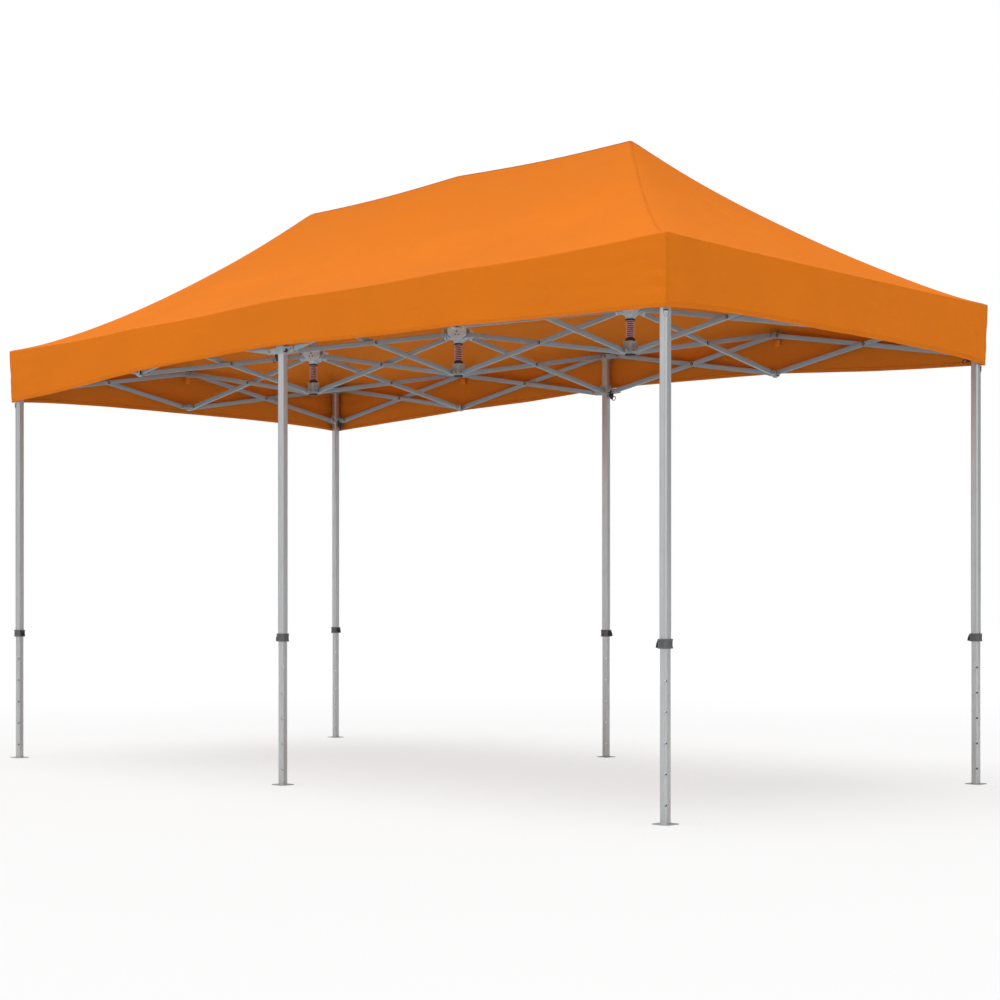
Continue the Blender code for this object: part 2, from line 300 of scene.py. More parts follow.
def pipe(outer, inner, low, high, edge=0.0006):
    """A hollow length of any profile, open at both ends."""
    broken = shrunk(outer, edge)
    return loft([level(broken, low), level(outer, low + edge), level(outer, high - edge),
                 level(broken, high), level(inner, high), level(inner, low)], looped=True)


def swept(path, radius, sides=8, looped=False):
    """A round wire along a path."""
    path = [Vector(point) for point in path]
    rings, normal = [], None
    for index, here in enumerate(path):
        ahead = path[(index + 1) % len(path)] if looped or index < len(path) - 1 else here
        back = path[index - 1] if looped or index else here
        along = (ahead - back).normalized()
        if normal is None:
            normal = along.orthogonal().normalized()
        normal = (normal - along * normal.dot(along)).normalized()
        across = along.cross(normal)
        rings.append([here + normal * x + across * y for x, y in circle(radius, sides)])
    return loft(rings, looped)


def moved(x, y, z=0.0):
    return Matrix.Translation((x, y, z))


def turned(quarters):
    return Matrix.Rotation(quarters * pi / 2, 4, "Z")


def toward(direction, place=(0, 0, 0)):
    """Turns +Z to a direction and moves to a place."""
    turn = Vector((0, 0, 1)).rotation_difference(Vector(direction)).to_matrix().to_4x4()
    return Matrix.Translation(place) @ turn


def facing(way, place=(0, 0, 0)):
    """Turns +X to a level direction and moves to a place."""
    return Matrix.Translation(place) @ Matrix.Rotation(np.arctan2(way[1], way[0]), 4, "Z")


UPRIGHT = Matrix.Rotation(pi / 2, 4, "X")                # stands a flat outline up: Y becomes Z, Z becomes -Y
LYING = Matrix.Rotation(pi / 2, 4, "Y") @ turned(1)      # lays an upright length along X


def bolt_head(size):
    """A washer under a button head with a hexagon socket."""
    return [lathe([(size * 1.25, 0), (size * 1.25, 0.001), (size * 1.15, 0.0014), (size * 0.9, 0.0014)]),
            lathe([(size, 0.0014), (size, 0.002), (size * 0.88, 0.0036), (size * 0.58, 0.0046),
                   (size * 0.46, 0.0047), (size * 0.44, 0.0026)])]


def nut(size):
    """A washer, a hexagon and the end of its bolt."""
    return [lathe([(size * 1.25, 0), (size * 1.25, 0.001), (size * 0.9, 0.0014)]),
            slab([Vector(point) for point in circle(size, 6)], 0.0014, 0.0062, 0.0007),
            lathe([(size * 0.52, 0.006), (size * 0.52, 0.0082), (size * 0.42, 0.0088)], 12)]


def placed(name, data, place=Matrix()):
    """Puts a mesh, lamp or camera in the scene."""
    thing = bpy.data.objects.new(name, data)
    thing.matrix_world = place
    bpy.context.scene.collection.objects.link(thing)
    return thing


def made(name, mesh, body, slot, place=Matrix(), stands_for=()):
    """Puts a mesh in the scene as a piece of a CAD body."""
    piece = placed(name, mesh, place)
    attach(piece, body)
    if stands_for:
        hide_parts(*stands_for)
    return piece


def carried(piece, travel):
    """Gives a small piece its own copy of its mesh. travel is not used."""
    travel = Vector(travel)
    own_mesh(piece)


def settled(thing):
    """The mesh of an object with its modifiers applied."""
    graph = bpy.context.evaluated_depsgraph_get()
    graph.update()
    return bpy.data.meshes.new_from_object(thing.evaluated_get(graph))


# ---------------------------------------------------------------- materials


class Look:
    """A Principled material with a few procedural layers."""

    def __init__(self, name, colour, roughness, metallic=0.0, **sockets):
        self.material = bpy.data.materials.new(name)
        self.material.use_nodes = True
        self.tree = self.material.node_tree
        self.shader = self.tree.nodes["Principled BSDF"]
        self.colour, self.roughness = colour, roughness
        self.material.diffuse_color = (*colour, 1)
        self.shader.inputs["Metallic"].default_value = metallic
        for socket, value in sockets.items():
            self.shader.inputs[socket.replace("_", " ")].default_value = value
        self.place = self.node("TexCoord").outputs["Object"]

    def node(self, kind, inputs=None, **settings):
        """A new node, its inputs set to numbers or linked to sockets."""
        fresh = self.tree.nodes.new("ShaderNode" + kind)
        for setting, value in settings.items():
            setattr(fresh, setting, value)
        for name, value in (inputs or {}).items():
            self.feed(fresh.inputs[name], value)
        return fresh

    def feed(self, socket, value):
        if isinstance(value, bpy.types.NodeSocket):
            self.tree.links.new(value, socket)
        else:
            socket.default_value = value

    def noise(self, scale, detail, stretch=(1, 1, 1), roughness=0.55):
        where = self.node("Mapping", {"Scale": stretch, "Vector": self.place}).outputs["Vector"]
        return self.node("TexNoise", {"Scale": scale, "Detail": detail, "Roughness": roughness,
                                      "Vector": where}).outputs["Fac"]

    def ranged(self, value, low, high, start=0.3, end=0.7):
        return self.node("MapRange", {"From Min": start, "From Max": end, "To Min": low, "To Max": high,
                                      "Value": value}).outputs["Result"]

    def maths(self, operation, *values):
        step = self.node("Math", operation=operation)
        for socket, value in zip(step.inputs, values):
            self.feed(socket, value)
        return step.outputs["Value"]

    def blended(self, share, base, other):
        """Base colour going to another where share is 1. Either may be a colour or a socket."""
        mix = self.node("Mix", {"Factor": share}, data_type="RGBA")
        ends = [socket for socket in mix.inputs if socket.type == "RGBA"]
        for socket, value in zip(ends, (base, other)):
            self.feed(socket, (*value, 1) if isinstance(value, tuple) else value)
        return next(socket for socket in mix.outputs if socket.type == "RGBA")

    def bump(self, height, distance, strength, over=None):
        bump = self.node("Bump", {"Distance": distance, "Strength": strength, "Height": height})
        if over:
            self.feed(bump.inputs["Normal"], over)
        return bump.outputs["Normal"]

    def split(self, vector):
        return self.node("SeparateXYZ", {"Vector": vector}).outputs

    def done(self, colour=None, roughness=None, normal=None):
        self.feed(self.shader.inputs["Base Color"], (*self.colour, 1) if colour is None else colour)
        self.feed(self.shader.inputs["Roughness"], self.roughness if roughness is None else roughness)
        if normal is not None:
            self.feed(self.shader.inputs["Normal"], normal)
        return self.material


def shade(colour, factor):
    return tuple(channel * factor for channel in colour)


def drawn_metal(name, colour, roughness, stretch, metallic):
    """Extruded aluminium: fine lines along its length, faint handling marks."""
    look = Look(name, colour, roughness, metallic)
    lines = look.noise(260, 4, stretch, 0.7)
    marks = look.noise(9, 4)
    tint = look.blended(look.ranged(lines, 0, 1, 0.25, 0.75), shade(colour, 0.88), shade(colour, 1.10))
    tint = look.blended(look.ranged(marks, 0, 0.25, 0.52, 0.75), tint, shade(colour, 0.82))
    rough = look.ranged(marks, roughness - 0.02, roughness + 0.05)
    return look.done(tint, rough, look.bump(lines, 0.0002, 0.35))


def cast_metal(name, colour, roughness, metallic):
    """Die-cast or painted metal: a slightly grainy skin with soft mottling."""
    look = Look(name, colour, roughness, metallic)
    grain, mottle = look.noise(900, 2), look.noise(35, 4)
    tint = look.blended(look.ranged(mottle, 0, 1), shade(colour, 0.85), shade(colour, 1.12))
    rough = look.ranged(mottle, roughness - 0.08, roughness + 0.1)
    return look.done(tint, rough, look.bump(grain, 0.0003, 0.4))


def plastic(name, colour, roughness):
    """Moulded plastic or rubber: a fine grain with paler scuffs."""
    look = Look(name, colour, roughness)
    grain, scuffs = look.noise(1500, 2), look.noise(60, 5)
    tint = look.blended(look.ranged(scuffs, 0, 0.5, 0.55, 0.8), colour, shade(colour, 1.7))
    return look.done(tint, look.ranged(scuffs, roughness, roughness + 0.15), look.bump(grain, 0.0002, 0.35))


def fabric(name, colour, stitched=False):
    """Coated polyester: plain weave, faint blotches and creases as bumps, and painted shade: darker along the
    creases and towards the ridge.
    A stitched band has two rows of thread."""
    look = Look(name, colour, 0.72, 0.0, Specular_IOR_Level=0.06)
    weave = None
    for direction in ("X", "Y", "Z"):
        wave = look.node("TexWave", {"Scale": 260, "Vector": look.place}, wave_type="BANDS",
                         bands_direction=direction).outputs["Fac"]
        weave = wave if weave is None else look.maths("ADD", weave, wave)
    blotch, crease_bump_and_shade = look.noise(1.3, 3), look.noise(5.5, 5, (1, 1, 1.6), 0.6)
    tint = look.blended(look.ranged(blotch, 0, 1), shade(colour, 0.965), shade(colour, 1.03))
    # painted shade: the colour darkens along the creases, whose noise also drives a bump
    tint = look.blended(look.ranged(crease_bump_and_shade, 0, 0.35, 0.55, 0.8), tint, shade(colour, 0.93))
    painted_ridge_shade_height = look.split(look.place)["Z"]
    # painted shade: the colour darkens by a tenth from 0.35 m above the eaves up to the peak
    tint = look.blended(look.ranged(painted_ridge_shade_height, 0, 1, EAVE + 0.35, PEAK), tint, shade(colour, 0.9))
    height = look.bump(weave, 0.0003, 0.2, over=look.bump(crease_bump_and_shade, 0.02, 0.5))
    if stitched:
        along, across = look.split(look.node("UVMap").outputs["UV"])[:2]
        stitch = look.maths("FRACT", look.maths("MULTIPLY", along, 1 / STITCH))
        off_row = look.maths("ABSOLUTE", look.maths("SUBTRACT", look.maths("ABSOLUTE", across), STITCH_ROW))
        thread = look.maths("MULTIPLY", look.maths("LESS_THAN", stitch, STITCH_SHARE),
                            look.maths("LESS_THAN", off_row, THREAD / 2))
        tint = look.blended(thread, tint, shade(colour, 0.78))
        height = look.bump(thread, 0.0006, 0.8, over=height)
    return look.done(tint, look.ranged(blotch, 0.66, 0.76), height)


LEG_METAL = drawn_metal("silver_tube", (0.575, 0.59, 0.6), 0.3, (1, 1, 0.006), 0.68)
BAR_METAL = drawn_metal("grey_bar", (0.335, 0.435, 0.495), 0.5, (0.006, 1, 1), 0.25)
MAST_METAL = drawn_metal("grey_mast", (0.46, 0.52, 0.55), 0.45, (1, 1, 0.006), 0.4)
PALE_CASTING = cast_metal("pale_casting", (0.62, 0.73, 0.79), 0.5, 0.15)
GREY_CASTING = cast_metal("grey_casting", (0.42, 0.46, 0.48), 0.5, 0.25)
DARK_PLASTIC = plastic("dark_plastic", (0.14, 0.143, 0.147), 0.45)
BLACK_RUBBER = plastic("black_rubber", (0.022, 0.022, 0.024), 0.55)
DARK_STEEL = cast_metal("dark_steel", (0.1, 0.1, 0.11), 0.38, 0.7)
BOLT_STEEL = cast_metal("bolt_steel", (0.3, 0.32, 0.33), 0.4, 0.5)
BRIGHT_STEEL = cast_metal("bright_steel", (0.42, 0.42, 0.43), 0.32, 0.9)
SPRING_WIRE = cast_metal("spring_wire", (0.62, 0.36, 0.36), 0.35, 0.35)
SPRING_CORE = plastic("spring_core", (0.16, 0.045, 0.045), 0.5)
CLOTH_TOP = fabric("orange_cloth", CLOTH)
# painted shade: the reverse is a darker copy of the cloth, standing in for the shade on the underside and inside
# the valance
CLOTH_REVERSE_PAINTED_SHADE = fabric("orange_cloth_reverse_painted_shade", (0.66, 0.2, 0.02))
CLOTH_SEAM = fabric("orange_cloth_seam", shade(CLOTH, 0.96), stitched=True)

# ---------------------------------------------------------------- roof cloth


def roof_height(x, y):
    """Height of the cloth over a point of the plan (arrays)."""
    x, y = np.asarray(x, float), np.asarray(y, float)
    across, past = np.abs(y / HALF_Y), np.maximum(0, np.abs(x) - BAY) / (HALF_X - BAY)
    across, past = ((np.sqrt(share ** 2 + CROWN ** 2) - CROWN) / (hypot(1, CROWN) - CROWN)
                    for share in (across, past))
    sharper = np.maximum(across, past)
    soft = HIP_SOFTNESS * sharper * (1 - sharper)
    slope = np.clip(0.5 * (across + past + np.sqrt((across - past) ** 2 + soft ** 2)), 0, 1)
    height = EAVE + (PEAK - EAVE) * (1 - slope) ** SAG_POWER
    on_ridge = np.where(np.abs(x) < BAY, np.abs(np.sin(pi * x / BAY)), 0)
    height -= RIDGE_DIP * on_ridge * np.exp(-((y / RIDGE_DIP_REACH) ** 2))
    height += RIDGE_ARCH * np.cos(pi / 2 * np.clip(x / BAY, -1, 1)) * (1 - slope) ** 2
    height += BACK_FULLNESS * np.sin(pi * slope ** 1.3) * np.sqrt(np.clip(y / HALF_Y, 0, 1))
    # the eaves dip between the legs
    sway = np.sqrt(np.sin(pi * x / BAY) ** 2 + 0.0025) - 0.05
    long_dip = np.where(np.abs(x) > BAY, OUTER_DIP, INNER_DIP) * sway
    long_dip -= LEG_LIFT * np.exp(-((x / LEG_LIFT_REACH) ** 2))
    end_dip = END_DIP * (1 - np.clip(np.abs(y) / HALF_Y, 0, 1) ** 4)
    turn = np.clip((past - across) / HIP_TURN + 0.5, 0, 1)
    inland = (1 - slope) * HALF_Y
    height -= (long_dip * (1 - turn) + end_dip * turn) * np.exp(-((inland / EAVE_REACH) ** 2))
    # soft pulls in the cloth between the peaks and the eaves
    pull = np.sin(x * 4.1 + y * 1.7) * np.sin(y * 3.3 - x * 0.9) + 0.6 * np.sin(x * 7.9 - y * 5.2)
    height += PULL * pull * np.sin(pi * np.clip(slope, 0, 1))
    # faint straight pulls that fan out from the hips towards the eaves
    fan = np.sin(9.0 * (across - past) * (1 + slope))
    height += FAN * fan * np.sin(pi * slope) ** 2
    return height


def over(x, y, lift=0.0):
    """A point on the cloth, or a little above or below it."""
    return x, y, float(roof_height(x, y)) + lift


def valance_drop(x, y, long_side):
    """Depth of the valance below the eave: deepest at the corners."""
    if long_side:
        share = abs(x) / HALF_X
        slow = UNEVEN * sin(1.3 * x) * (1 - share ** 2) * (-1 if y > 0 else 1)
        return LONG_SIDE_DROP + (CORNER_DROP - LONG_SIDE_DROP) * share ** 2.3 + slow
    return END_DROP + (CORNER_DROP - END_DROP) * (abs(y) / HALF_Y) ** 4


def grid_lines(inner, outer, cells_inner, cells_outer):
    """Grid lines from the middle outward, evenly spaced up to inner and then up to outer."""
    half = [inner * step / cells_inner for step in range(cells_inner)]
    half += [inner + (outer - inner) * step / cells_outer for step in range(cells_outer + 1)]
    return [-value for value in reversed(half[1:])] + half


XS = grid_lines(BAY, HALF_X - FOLD_RADIUS, RIDGE_CELLS, CELLS)
YS = grid_lines(0, HALF_Y - FOLD_RADIUS, 0, CELLS)


def rim():
    """The cloth's outer edge, once round: (x, y, outward x, outward y, on a long side)."""
    edge_x, edge_y = HALF_X - FOLD_RADIUS, HALF_Y - FOLD_RADIUS
    points = [(x, -edge_y, 0, -1, True) for x in XS[:-1]]
    points += [(edge_x, y, 1, 0, False) for y in YS[:-1]]
    points += [(x, edge_y, 0, 1, True) for x in reversed(XS[1:])]
    points += [(-edge_x, y, -1, 0, False) for y in reversed(YS[1:])]
    front_right, back_right = len(XS) - 1, len(XS) + len(YS) - 2
    corners = {0: (-1, -1), front_right: (1, -1), back_right: (1, 1), back_right + front_right: (-1, 1)}
    for index, way in corners.items():
        points[index] = (*points[index][:2], *way, points[index][4])
    return points


def hang(point, share, clear=0.0):
    """A place on the valance: share runs from 0 at the eave to 1 at the hem."""
    x, y, out_x, out_y, long_side = point
    run, limit = (x, HALF_X) if long_side else (y, HALF_Y)
    slack = max(0.0, 1 - (abs(run) / limit) ** 6)
    phase = 0 if out_x + out_y > 0 else 1.9
    wave = sin(run * 6.3 + phase) + 0.7 * sin(run * 14.7 + 1.1 + phase) + 0.4 * sin(run * 3.1 - phase)
    near = limit - abs(run)
    gather = sin(near * 62 + 9 * share) * np.exp(-near / GATHER_REACH) * sin(pi * min(1, share * 1.2))
    drag = sin(21 * share + 5.5 * near + phase) + 0.8 * sin(29 * share - 9 * near + 2 * phase)
    lean = -LEAN * share + WAVE * wave * slack * share ** 1.3 + GATHER * gather * min(1, near / 0.02)
    lean += DRAG * drag * np.exp(-near / DRAG_REACH) * min(1, near / 0.05) * sin(pi * share)
    down = FOLD_RADIUS + (valance_drop(x, y, long_side) - FOLD_RADIUS) * share
    out = FOLD_RADIUS + lean + clear
    return x + out_x * out, y + out_y * out, float(roof_height(x, y)) - down


def cloth_piece(name, mesh, thickness, offset=0, **more):
    """A piece of the roof cloth: a sheet given its thickness."""
    piece = made(name, mesh, "roof", "cloth", **more)
    shell = piece.modifiers.new("thickness", "SOLIDIFY")
    shell.thickness, shell.offset, shell.material_offset = thickness, offset, len(mesh.materials) - 1
    shell.use_even_offset = False
    thickened = settled(piece)
    piece.modifiers.clear()
    piece.data = thickened
    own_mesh(piece)
    return piece


def roof_cloth():
    """Roof and valance in one sheet, bent over at the eaves."""
    grid_x, grid_y = np.meshgrid(XS, YS, indexing="ij")
    points = list(zip(grid_x.flat, grid_y.flat, roof_height(grid_x, grid_y).flat))
    last_x, last_y = len(XS) - 1, len(YS) - 1

    def at(i, j):
        return i * len(YS) + j

    faces = []
    for i in range(last_x):
        for j in range(last_y):
            quad = [at(i, j), at(i + 1, j), at(i + 1, j + 1), at(i, j + 1)]
            mid_x, mid_y = (XS[i] + XS[i + 1]) / 2, (YS[j] + YS[j + 1]) / 2
            if abs(mid_x) < BAY:
                faces.append(quad)
            elif mid_x * mid_y > 0:          # split along the way the hips run
                faces += [[quad[0], quad[1], quad[2]], [quad[0], quad[2], quad[3]]]
            else:
                faces += [[quad[0], quad[1], quad[3]], [quad[1], quad[2], quad[3]]]
    edge = rim()
    loop = [at(i, 0) for i in range(last_x)] + [at(last_x, j) for j in range(last_y)]
    loop += [at(i, last_y) for i in range(last_x, 0, -1)] + [at(0, j) for j in range(last_y, 0, -1)]
    bend_out, bend_down = FOLD_RADIUS * 0.7, FOLD_RADIUS * 0.3       # half way round the fold
    bend = [over(x, y, -bend_down) for x, y, *_ in edge]
    bend = [(x + way[2] * bend_out, y + way[3] * bend_out, z) for (x, y, z), way in zip(bend, edge)]
    for row in [bend] + [[hang(point, share) for point in edge] for share in SHARES]:
        fresh = list(range(len(points), len(points) + len(row)))
        points += row
        faces += [[loop[k - 1], fresh[k - 1], fresh[k], loop[k]] for k in range(len(loop))]
        loop = fresh
    # the sheet's other side gets the reverse, darkened as painted shade
    mesh = Shape(points, faces).mesh("roof_cloth", (CLOTH_TOP, CLOTH_REVERSE_PAINTED_SHADE), sharp=60)
    if mesh.polygons[0].normal.z < 0:
        mesh.flip_normals()
    piece = cloth_piece("roof_cloth", mesh, CLOTH_THICK, -1, stands_for=("canopy",))
    piece.data.shade_smooth()
    return piece


def band(name, rails, length_marks, width_marks, outward, thickness=BAND_THICK):
    """A stitched strip lying on the cloth. rails are its lines, one for each width mark.
    outward is the way its first face should look; its other side has the cloth's reverse, a darker copy of the
    cloth that paints in shade."""
    mesh = bpy.data.meshes.new(name)
    points, faces = ribbon(rails)
    mesh.from_pydata(points, [], faces)
    mesh.materials.append(CLOTH_SEAM)
    mesh.materials.append(CLOTH_REVERSE_PAINTED_SHADE)
    uv = mesh.uv_layers.new(name="UVMap")
    for corner in mesh.loops:
        row, column = divmod(corner.vertex_index, len(rails[0]))
        uv.data[corner.index].uv = (length_marks[column], width_marks[row])
    mesh.shade_smooth()
    if mesh.polygons[0].normal.dot(Vector(outward)) < 0:
        mesh.flip_normals()
    return cloth_piece(name, mesh, thickness)


def running(points):
    """Distance along a line of points."""
    steps = [0.0]
    for here, there in zip(points, points[1:]):
        steps.append(steps[-1] + (Vector(there) - Vector(here)).length)
    return steps


def hip_seams():
    start, length = 0.006, HALF_Y - FOLD_RADIUS - 0.016
    steps = [start + length * step / HIP_STEPS for step in range(HIP_STEPS + 1)]
    seams = []
    for side_x in SIDES:
        for side_y in SIDES:
            rails = []
            for width in SEAM_MARKS:
                shift = width / 2 ** 0.5
                rails.append([over(side_x * (BAY + step * (HALF_X - BAY) / HALF_Y + shift),
                                   side_y * (step - shift), ON_CLOTH) for step in steps])
            name = f"hip_seam_{node_name(2 * side_x, side_y)}"
            seams.append(band(name, rails, running(rails[2]), SEAM_MARKS, (0, 0, 1)))
    return seams


def ridge_seam():
    xs = np.linspace(-BAY, BAY, RIDGE_STEPS + 1)
    rails = [[over(x, width, ON_CLOTH) for x in xs] for width in SEAM_MARKS]
    return band("ridge_seam", rails, running(rails[2]), SEAM_MARKS, (0, 0, 1))


def hem_band():
    edge = rim()
    edge.append(edge[0])
    rails = []
    for width in HEM_MARKS:
        up = HEM / 2 + width - 0.0005
        shares = [1 - up / (valance_drop(x, y, long_side) - FOLD_RADIUS) for x, y, _, _, long_side in edge]
        rails.append([hang(point, share, -CLOTH_THICK / 2) for point, share in zip(edge, shares)])
    return band("hem", rails, running(rails[2]), HEM_MARKS, (0, -1, 0))


def corner_seams():
    seams, shares = [], [CORNER_SEAM * step / CORNER_STEPS for step in range(CORNER_STEPS + 1)]
    for point in rim():
        x, y, out_x, out_y, long_side = point
        if not (out_x and out_y):
            continue
        line = [hang(point, 0.01 + share, 0.0002) for share in shares]
        rails = [[(at_x - out_x * max(0, -width), at_y - out_y * max(0, width), z) for at_x, at_y, z in line]
                 for width in CORNER_MARKS]
        name = f"corner_seam_{node_name(2 * out_x, out_y)}"
        along = [valance_drop(x, y, long_side) * share for share in shares]
        seams.append(band(name, rails, along, CORNER_MARKS, (out_x, out_y, 0), CORNER_BAND_THICK))
    return seams


def peak_patches():
    """Doubled cloth under each mast head."""
    sides, patches = PATCH_SIDES, []
    faces = [[0, 1 + side, 1 + (side + 1) % sides] for side in range(sides)]
    for inner in range(1, 1 + (PATCH_RINGS - 1) * sides, sides):
        faces += [[inner + side, inner + sides + side, inner + sides + (side + 1) % sides,
                   inner + (side + 1) % sides] for side in range(sides)]
    for column in (-1, 0, 1):
        spots = [(0, 0)]
        for ring in range(1, PATCH_RINGS + 1):
            spots += circle(PATCH * ring / PATCH_RINGS, sides)
        points = [over(column * BAY + x, y, -PATCH_BELOW) for x, y in spots]
        # the patch under the roof gets the reverse, darkened as painted shade
        mesh = Shape(points, faces).mesh("peak_patch", (CLOTH_REVERSE_PAINTED_SHADE,), 60)
        patches.append(cloth_piece(f"peak_patch_{COLUMN_NAMES[2 * column]}", mesh, PATCH_THICK))
    return patches


def tabs():
    """Short cloth straps that hold the roof to the free brackets."""
    found = []
    for column, row in FREE_NODES:
        out = Vector((0, row, 0)) if row else Vector((column // 2, 0, 0))
        across = Vector((-out.y, out.x, 0))
        base = Vector((column * BAY, row * BAY, 0))
        edge = (HALF_Y if row else HALF_X) - TAB_IN - abs(base.dot(out))
        rails = [[base + out * (edge + away + TAB_SWING * (1 - abs(side))) + across * side * TAB_HALF
                  + Vector((0, 0, EAVE + height)) for side in (-1, 0, 1)] for away, height in TAB_PROFILE]
        mesh = Shape(*ribbon(rails)).mesh("tab", (CLOTH_TOP,), 60)
        found.append(cloth_piece(f"tab_{node_name(column, row)}", mesh, TAB_THICK))
    return found


# ---------------------------------------------------------------- frame


def bar_mesh():
    """One scissor bar lying along X, its outer face towards +Y."""
    length = BAR_SPAN + 2 * BAR_PAST_PIN
    bore = rectangle(BAR_THICK - 2 * BAR_WALL, BAR_DEPTH - 2 * BAR_WALL, BAR_FILLET / 2)
    bush = lathe([(0.009, 0), (0.009, 0.0005), (0.0082, 0.0007), (0.003, 0.0007)], 20)
    spacer = lathe([(0.0125, 0), (0.0125, 0.0006), (0.004, 0.0006)], 20)
    washer = lathe([(0.0108, 0), (0.0108, 0.0016), (0.01, 0.0026), (0.0062, 0.0026)])
    head = lathe([(0.0058, 0.002), (0.0058, 0.0034), (0.0048, 0.0046), (0.0026, 0.0049), (0.0022, 0.003)])
    shape = Shape()
    shape.add(pipe(rectangle(BAR_THICK, BAR_DEPTH, BAR_FILLET), bore, -length / 2, length / 2), LYING)
    for end in SIDES:
        low, high = sorted((end * (length / 2 - PLUG), end * (length / 2 - PLUG_SUNK)))
        shape.add(slab(bore, low, high, 0.0005), LYING, 1)
        for face in SIDES:
            shape.add(bush, toward((0, face, 0), (end * BAR_SPAN / 2, face * BAR_THICK / 2, 0)), 3)
    outer_face = toward((0, 1, 0), (0, BAR_THICK / 2, 0))
    shape.add(washer, outer_face, 1)
    shape.add(head, outer_face, 3)
    shape.add(spacer, toward((0, -1, 0), (0, -BAR_THICK / 2, 0)), 1)
    return shape.mesh("scissor_bar", (BAR_METAL, BLACK_RUBBER, DARK_STEEL, BRIGHT_STEEL))


def bar_place(start, end, side):
    """Where a bar's mesh goes: along its two pins, outer face to its own side."""
    along = (end - start).normalized()
    if along.cross(side).z < 0:
        along = -along
    turn = Matrix((along, side, along.cross(side))).transposed().to_4x4()
    return Matrix.Translation((start + end) / 2 + side * LAYER) @ turn


def bars():
    mesh = bar_mesh()
    for node in frame["nodes"]:
        if not node.endswith("_falling"):
            continue
        scissor = node[:-len("_falling")]
        crossing = (middle(node) + middle(scissor + "_rising")) / 2
        low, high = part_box(node)
        along = Vector((1, 0, 0)) if high.x - low.x > high.y - low.y else Vector((0, 1, 0))
        side = Vector((along.y, along.x, 0))
        out = along * (REACH / 2 if crossing.dot(along) > 0 else -REACH / 2)
        up = Vector((0, 0, RISE / 2))
        for kind, half, way in (("falling", out - up, side), ("rising", out + up, -side)):
            name = f"{scissor}_{kind}"
            made(name + "_bar", mesh, name, "bar", bar_place(crossing - half, crossing + half, way), (name,))


def ways(column, row):
    """Which ways the frame leaves a node, with the pin's distance from the node."""
    if row:
        along_x = LEG_TO_LONG_PIN if column % 2 == 0 else 0.0
    else:
        along_x = NODE_TO_PIN
    found = [((side, 0), along_x) for side in SIDES if column + side in COLUMNS]
    return found + [((0, side), NODE_TO_PIN) for side in SIDES if row + side in ROWS]


def cheeks(shape, outline, place, pin, boss=0.0):
    """Two plates either side of a bar, with the bolt that goes through them."""
    for side in SIDES:
        inner, outer = side * SLOT / 2, side * (SLOT / 2 + CHEEK)
        shape.add(slab(outline, -max(inner, outer), -min(inner, outer), 0.001), place @ UPRIGHT)
        if boss:
            shape.add(lathe([(0.0115, -0.0005), (0.0115, 0.0012), (0.01, boss), (0.005, boss)], 20),
                      place @ toward((0, side, 0), (pin, outer, 0)))
        fastener = bolt_head(0.0072) if side > 0 else nut(0.0066)
        shape.add_all(fastener, place @ toward((0, side, 0), (pin, outer + side * boss, 0)), 1)
    shape.add(lathe([(0.0045, -SLOT / 2), (0.0045, SLOT / 2)], 12), place @ toward((0, 1, 0), (pin, 0, 0)), 1)


def fork(shape, way, pin, height, reach, root, tip, slope=0.0):
    """A forked arm: two cheeks that narrow from root to tip, and a neck where the pin is far out."""
    place = facing(way, (0, 0, height))
    start = HUB / 2 - 0.004
    outline = filleted([(start, -root / 2), (pin + 0.004, -tip / 2 + slope * 0.4), (reach, -tip / 2 + slope),
                        (reach, tip / 2), (pin, tip / 2), (start, root / 2)], 0.009, 4)
    cheeks(shape, outline, place, pin, BOSS)
    neck_end = pin - BAR_PAST_PIN - 0.009
    if neck_end > start + 0.008:
        neck = rectangle(SLOT + 2 * CHEEK - 0.004, min(root, tip) * 0.86, 0.004)
        shape.add(slab(neck, start, neck_end, 0.001), place @ LYING)


def forks(shape, column, row, height, arm):
    """A forked arm each way the frame leaves a node, except where bars share the node's own pin."""
    past, root, tip = arm
    for way, pin in ways(column, row):
        if pin:
            fork(shape, way, pin, height, pin + past, root, tip)


def ribs(shape, profile, low, high, away, count, pitch, turns=range(4)):
    """Upright ribs on the faces of a square casting, or on its corners at half turns."""
    rib = slab(profile, low, high, 0.0006)
    for turn in turns:
        for index in range(count):
            shape.add(rib, turned(turn) @ moved(away, pitch * (index - (count - 1) / 2)))


RIB = rectangle(0.003, 0.0032, 0.0008, 1)
KNOB = ((0.015, -0.004), (0.0185, 0.005), (0.0165, 0.016), (0.01, 0.031), (0.005, 0.04))
LATCH = ((0.052, -0.018), (0.07, -0.02), (0.075, -0.004), (0.066, 0.006), (0.066, -0.01), (0.052, -0.008))
LEVER = ((0, -0.014), (0.008, -0.013), (0.014, -0.022), (0.019, -0.019), (0.016, 0), (0.008, 0.016),
         (0, 0.018))
SHIELD = ((-0.013, 0.012), (-0.013, -0.002), (-0.006, -0.019), (0.006, -0.019), (0.013, -0.002),
          (0.013, 0.012))
CASTING_LOOKS = (GREY_CASTING, BOLT_STEEL, BLACK_RUBBER, DARK_STEEL)


def leg_head(column, row):
    """Cast head at the top of a leg, with its arms, top cap and screws."""
    shape = Shape()
    shape.add(slab(cut_square(HUB, 0.007, 0.002), HIGH_PIN - 0.026, LEG_TOP - 0.002, 0.002))
    shape.add(slab(cut_square(HUB - 0.006, 0.007, 0.002), LEG_TOP - 0.003, LEG_TOP + 0.003, 0.0015), look=2)
    forks(shape, column, row, HIGH_PIN, HEAD_ARM)
    return shape.mesh("leg_head", CASTING_LOOKS[:3])


